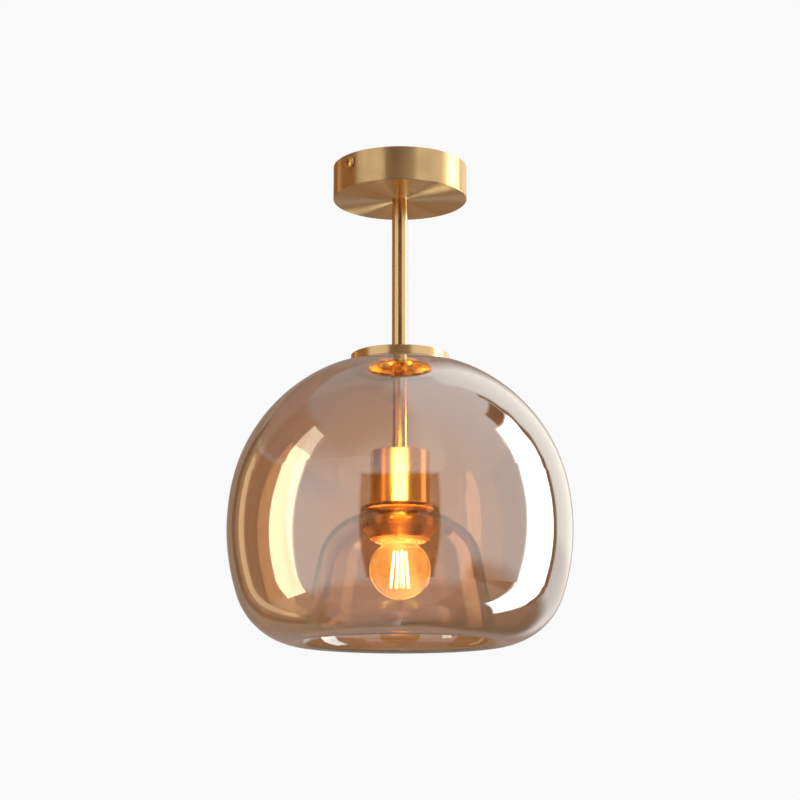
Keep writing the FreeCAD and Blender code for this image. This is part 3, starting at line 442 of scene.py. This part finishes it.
plastics = {
    # pieces, then the material's name, colour, roughness and the size of its grain in mm
    "dressed": [
        (["terminal_block"], "moulded white nylon", "#e6e4dc", 0.5, 1.5),
        (["live_wire"], "extruded brown PVC", "#5a3520", 0.45, 0.8),
        (["neutral_wire"], "extruded blue PVC", "#2f67ad", 0.45, 0.8),
        (["earth_wire"], "extruded green PVC", "#5f9a3a", 0.45, 0.8),
        (["shade_cap_gasket", "upper_glass_gasket", "lower_glass_gasket"],
         "moulded clear silicone rubber", "#cfc5b4", 0.4, 1.0),
        (["holder_insert"], "glazed ceramic", "#f2ead8", 0.15, 4.0),
        (["lamp_insulator"], "black glass insulation", "#17171a", 0.12, 2.0),
    ],
    "shadeSpread": (0.93, 1.05),  # how far the grain darkens and lightens the colour
    "skinStrength": 0.2,
    "skinDepth": 0.02,            # mm
}


def mouldedSkin(name, colour, roughness, grain):
    # Moulded or extruded plastic and rubber, or glaze: one colour with a faint orange-peel skin.
    material = newMaterial(name)
    tree = material.node_tree
    place = addNode(tree, "ShaderNodeTexCoord")
    skin = addNode(tree, "ShaderNodeTexNoise", {"Scale": 1 / (grain * mm), "Detail": 2.0},
                   {"Vector": place.outputs["Object"]})
    shade = addNode(tree, "ShaderNodeHueSaturation", {"Color": srgb(colour)})
    darkest, lightest = plastics["shadeSpread"]
    value = addNode(tree, "ShaderNodeMapRange", {"To Min": darkest, "To Max": lightest},
                    {"Value": skin.outputs["Fac"]})
    tree.links.new(value.outputs[0], shade.inputs["Value"])
    bump = addNode(tree, "ShaderNodeBump",
                   {"Strength": plastics["skinStrength"], "Distance": plastics["skinDepth"] * mm},
                   {"Height": skin.outputs["Fac"]})
    plastic = addNode(tree, "ShaderNodeBsdfPrincipled", {"Roughness": roughness, "IOR": 1.5},
                      {"Base Color": shade.outputs[0], "Normal": bump.outputs[0]})
    return finishMaterial(material, plastic)


zincSteel = smallMetal(*smallMetals["zinc"])
nickelBrass = smallMetal(*smallMetals["nickel"])
dress(["mounting_bracket", "canopy_lock_washer", "canopy_lock_nut", "holder_bridge",
       "holder_lock_washer", "holder_lock_nut", "holder_bridge_screws", "terminal_block_screws",
       "terminal_block_fixing_screw", "earth_tag", "lamp_support_wires"], zincSteel)
dress(["lamp_cap", "lamp_contact"], nickelBrass)
for pieces, name, colour, roughness, grain in plastics["dressed"]:
    dress(pieces, mouldedSkin(name, colour, roughness, grain))
print("fittings ready")


sideScrew = {
    "headRadius": 4.5,            # mm
    "headHeight": 3.0,
    "rimHeight": 0.9,             # where the rim ends and the dome begins
    "rimBevel": 0.3,
    "crownAngle": 86,             # degrees up the dome, where its flat crown begins
    "shankRadius": 1.9,
    "recessLength": 4.6,          # of the cross in its head
    "recessWidth": 1.0,
    "recessDepth": 1.3,
    "sides": 48,
    "domeRings": 9,
    "sharpAngle": 35,             # degrees between faces that still shade as one
}


def lathe(name, profile, steps, axis, foot):
    # turns (radius, height) points in mm round an axis that starts at foot
    across = Vector((0, 1, 0))
    upward = axis.cross(across)
    corners = []
    for radius, height in profile:
        for i in range(steps):
            turn = radians(360 * i / steps)
            corners.append(foot + (axis * height + across * radius * cos(turn)
                                   + upward * radius * sin(turn)) * mm)
    faces = [tuple(range(steps)), tuple(reversed(range(len(corners) - steps, len(corners))))]
    for row in range(len(profile) - 1):
        for i in range(steps):
            j = (i + 1) % steps
            faces.append((row * steps + i, (row + 1) * steps + i, (row + 1) * steps + j, row * steps + j))
    mesh = bpy.data.meshes.new(name)
    mesh.from_pydata(corners, [], faces)
    mesh.validate()
    return mesh


def makeBlock(name, centre, size):
    # a plain block, to cut with
    corners = [centre + Vector((x * size.x, y * size.y, z * size.z)) / 2
               for x in (-1, 1) for y in (-1, 1) for z in (-1, 1)]
    mesh = bpy.data.meshes.new(name)
    mesh.from_pydata(corners, [], [(0, 1, 3, 2), (4, 6, 7, 5), (0, 4, 5, 1), (2, 3, 7, 6), (0, 2, 6, 4),
                                   (1, 5, 7, 3)])
    block = bpy.data.objects.new(name, mesh)
    bpy.context.scene.collection.objects.link(block)
    return block


def makeSideScrew(name, node, body, material):
    # a domed cross-head screw in the canopy's side, fuller than its solid's
    low, high = (Vector(corner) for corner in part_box(node))
    middle = (low + high) / 2
    side = 1 if middle.x > 0 else -1
    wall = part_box("canopy")[1][0]
    foot = Vector((side * wall, middle.y, middle.z))
    inner = (wall - min(abs(low.x), abs(high.x))) / mm
    head, rim, height = sideScrew["headRadius"], sideScrew["rimHeight"], sideScrew["headHeight"]
    shank, bevel, rings = sideScrew["shankRadius"], sideScrew["rimBevel"], sideScrew["domeRings"]
    profile = [(shank, -inner), (shank, 0), (head - bevel, 0), (head, bevel)]
    for i in range(rings):
        turn = radians(90 * i / rings)
        profile.append((head * cos(turn), rim + (height - rim) * sin(turn)))
    profile.append((head * cos(radians(sideScrew["crownAngle"])), height))
    axis = Vector((side, 0, 0))
    screw = bpy.data.objects.new(name, lathe(name, profile, sideScrew["sides"], axis, foot))
    bpy.context.scene.collection.objects.link(screw)
    centre = foot + axis * height * mm
    depth, width, length = sideScrew["recessDepth"], sideScrew["recessWidth"], sideScrew["recessLength"]
    arms = [makeBlock(name + "Arm", centre, Vector((2 * depth, wide, high)) * mm)
            for wide, high in ((width, length), (length, width))]
    for arm in arms:
        cut = screw.modifiers.new("recess", "BOOLEAN")
        cut.operation, cut.solver, cut.object = "DIFFERENCE", "EXACT", arm
    view = bpy.context.evaluated_depsgraph_get()
    finished = bpy.data.meshes.new_from_object(screw.evaluated_get(view))
    screw.modifiers.clear()
    screw.data = finished
    for arm in arms:
        bpy.data.objects.remove(arm)
    finished.materials.clear()
    finished.materials.append(material)
    finished.shade_smooth()
    finished.set_sharp_from_angle(angle=radians(sideScrew["sharpAngle"]))
    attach(screw, body)
    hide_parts(node)


screwBrass = smallMetal(*smallMetals["screw"])
makeSideScrew("leftSideScrew", "canopy_screw_left", "left_screw", screwBrass)
makeSideScrew("rightSideScrew", "canopy_screw_right", "right_screw", screwBrass)
print("side screws ready")


amber = {
    "tint": "#efc9aa",            # of white light straight through one wall
    "slantTint": "#e09862",       # and aslant, along a longer way through it
    "bellTint": "#fbe4d0",        # through the bell, which is blown thinner
    "lipTint": "#dca674",         # through the lip, where the glass gathers
    "lipFrom": -338,              # mm, the heights between which it deepens
    "lipTo": -354,
    "bellFilm": 0.3,              # share of the film that reaches the bell
    "lustreFront": "#aed6ea",     # what the film throws back, seen square on
    "lustreEdge": "#f4e6d8",      # and seen along the surface
    "shareFront": 0.115,          # how much of the light that is, square on
    "shareEdge": 0.8,             # and along the surface
    "bellEdgeFilm": 0.5,          # share of that edge film on the bell
    "facingBlend": 0.35,          # how early both turn from square on to edge
    "filmRoughness": 0.012,
    "bellRadius": (68, 80),       # mm from the axis, where the bell gives way to the ball
    "bellTop": -236,              # mm, the height the bell starts at
    "bellFade": 8,                # mm below it, where the bell's own glass is reached
    "waveLength": 45,             # mm between the slow waves left by blowing
    "waveHeight": 0.10,           # mm
}


def tintedGlass(tree, tint, links=()):
    return addNode(tree, "ShaderNodeBsdfPrincipled",
                   {"Base Color": srgb(tint), "Roughness": 0.0, "IOR": 1.5, "Transmission Weight": 1.0},
                   links)


def letLightThrough(tree, shader, tint):
    # lets light in to what the glass encloses, which bent rays alone would leave grainy
    clear = addNode(tree, "ShaderNodeBsdfTransparent", {"Color": srgb(tint)})
    rays = addNode(tree, "ShaderNodeLightPath")
    return addNode(tree, "ShaderNodeMixShader",
                   links={0: rays.outputs["Is Shadow Ray"], 1: shader.outputs[0], 2: clear.outputs[0]})


def lustredGlass(name, settings):
    # Blown soda glass, body-tinted amber, with a vapour-deposited film: clear amber to look
    # through, and a cool half-mirror that grows white and strong towards its edges.
    material = newMaterial(name)
    tree = material.node_tree
    place, parts, radius = placeRoundAxis(tree)
    waves = addNode(tree, "ShaderNodeTexNoise", {"Scale": 1 / (settings["waveLength"] * mm), "Detail": 1.0},
                    {"Vector": place})
    bump = addNode(tree, "ShaderNodeBump", {"Strength": 1.0, "Distance": settings["waveHeight"] * mm},
                   {"Height": waves.outputs["Fac"]})
    facing = addNode(tree, "ShaderNodeLayerWeight", {"Blend": settings["facingBlend"]})
    slant = addNode(tree, "ShaderNodeMix", {"data_type": "RGBA", 6: srgb(settings["tint"]),
                                            7: srgb(settings["slantTint"])},
                    {0: facing.outputs["Facing"]})
    bellOnly, ballOnly = settings["bellRadius"]
    within = addNode(tree, "ShaderNodeMapRange", {"From Min": ballOnly * mm, "From Max": bellOnly * mm},
                     {"Value": radius})
    top, reached = settings["bellTop"], settings["bellTop"] - settings["bellFade"]
    below = addNode(tree, "ShaderNodeMapRange", {"From Min": top * mm, "From Max": reached * mm},
                    {"Value": parts[2]})
    bell = addNode(tree, "ShaderNodeMath", {"operation": "MULTIPLY"},
                   {0: within.outputs[0], 1: below.outputs[0]})
    thin = addNode(tree, "ShaderNodeMix", {"data_type": "RGBA", 7: srgb(settings["bellTint"])},
                   {0: bell.outputs[0], 6: slant.outputs[2]})
    lip = addNode(tree, "ShaderNodeMapRange", {"From Min": settings["lipFrom"] * mm,
                                               "From Max": settings["lipTo"] * mm},
                  {"Value": parts[2]})
    body = addNode(tree, "ShaderNodeMix", {"data_type": "RGBA", 7: srgb(settings["lipTint"])},
                   {0: lip.outputs[0], 6: thin.outputs[2]})
    glass = tintedGlass(tree, settings["tint"], {"Normal": bump.outputs[0], "Base Color": body.outputs[2]})
    colour = addNode(tree, "ShaderNodeMix", {"data_type": "RGBA", 6: srgb(settings["lustreFront"]),
                                             7: srgb(settings["lustreEdge"])},
                     {0: facing.outputs["Facing"]})
    film = addNode(tree, "ShaderNodeBsdfPrincipled",
                   {"Metallic": 1.0, "Roughness": settings["filmRoughness"]},
                   {"Base Color": colour.outputs[2], "Normal": bump.outputs[0]})
    squareOn, aslant = settings["shareFront"], settings["shareEdge"]
    front = addNode(tree, "ShaderNodeMapRange",
                    {"To Min": squareOn, "To Max": squareOn * settings["bellFilm"]},
                    {"Value": bell.outputs[0]})
    edge = addNode(tree, "ShaderNodeMapRange",
                   {"To Min": aslant, "To Max": aslant * settings["bellEdgeFilm"]},
                   {"Value": bell.outputs[0]})
    share = addNode(tree, "ShaderNodeMapRange", links={"Value": facing.outputs["Facing"],
                                                       "To Min": front.outputs[0],
                                                       "To Max": edge.outputs[0]})
    lustred = addNode(tree, "ShaderNodeMixShader",
                      links={0: share.outputs[0], 1: glass.outputs[0], 2: film.outputs[0]})
    return finishMaterial(material, letLightThrough(tree, lustred, settings["tint"]))


shadeGlass = lustredGlass("blown amber glass with metal lustre", amber)
dress(["glass_shade"], shadeGlass)
print("glass ready")


filamentLamp = {
    "globe": ("blown lamp glass with warm coating", "#fff6e6", 0.08),  # name, tint and haze
    "mount": ("drawn clear glass rod", "#ffffff", 0.02),
    "coating": "#fff2a6",         # colour of the scattered light
    "filament": ("lit LED filament phosphor", "#fff3e0", 420.0),       # name, colour and strength
    "phosphorGrain": 0.8,         # mm
    "phosphorSpread": (0.85, 1.15),
}


def lampGlow(name, tint, haze):
    # Thin machine-blown glass with a faint warm coating, which scatters a little of the
    # filaments' light and so glows round them.
    material = newMaterial(name)
    tree = material.node_tree
    glass = tintedGlass(tree, tint)
    coating = addNode(tree, "ShaderNodeBsdfTranslucent", {"Color": srgb(filamentLamp["coating"])})
    hazy = addNode(tree, "ShaderNodeMixShader", {0: haze},
                   {1: glass.outputs[0], 2: coating.outputs[0]})
    return finishMaterial(material, letLightThrough(tree, hazy, tint))


def litFilament(name, colour, strength):
    # Phosphor-coated LED strips, lit: a grainy glow too bright to show its own colour.
    material = newMaterial(name)
    tree = material.node_tree
    place = addNode(tree, "ShaderNodeTexCoord")
    grain = addNode(tree, "ShaderNodeTexNoise",
                    {"Scale": 1 / (filamentLamp["phosphorGrain"] * mm), "Detail": 1.0},
                    {"Vector": place.outputs["Object"]})
    dimmest, brightest = filamentLamp["phosphorSpread"]
    power = addNode(tree, "ShaderNodeMapRange",
                    {"To Min": strength * dimmest, "To Max": strength * brightest},
                    {"Value": grain.outputs["Fac"]})
    glow = addNode(tree, "ShaderNodeEmission", {"Color": srgb(colour)}, {"Strength": power.outputs[0]})
    return finishMaterial(material, glow)


dress(["lamp_glass"], lampGlow(*filamentLamp["globe"]))
dress(["lamp_mount"], lampGlow(*filamentLamp["mount"]))
dress(["lamp_filaments"], litFilament(*filamentLamp["filament"]))
print("lamp ready")
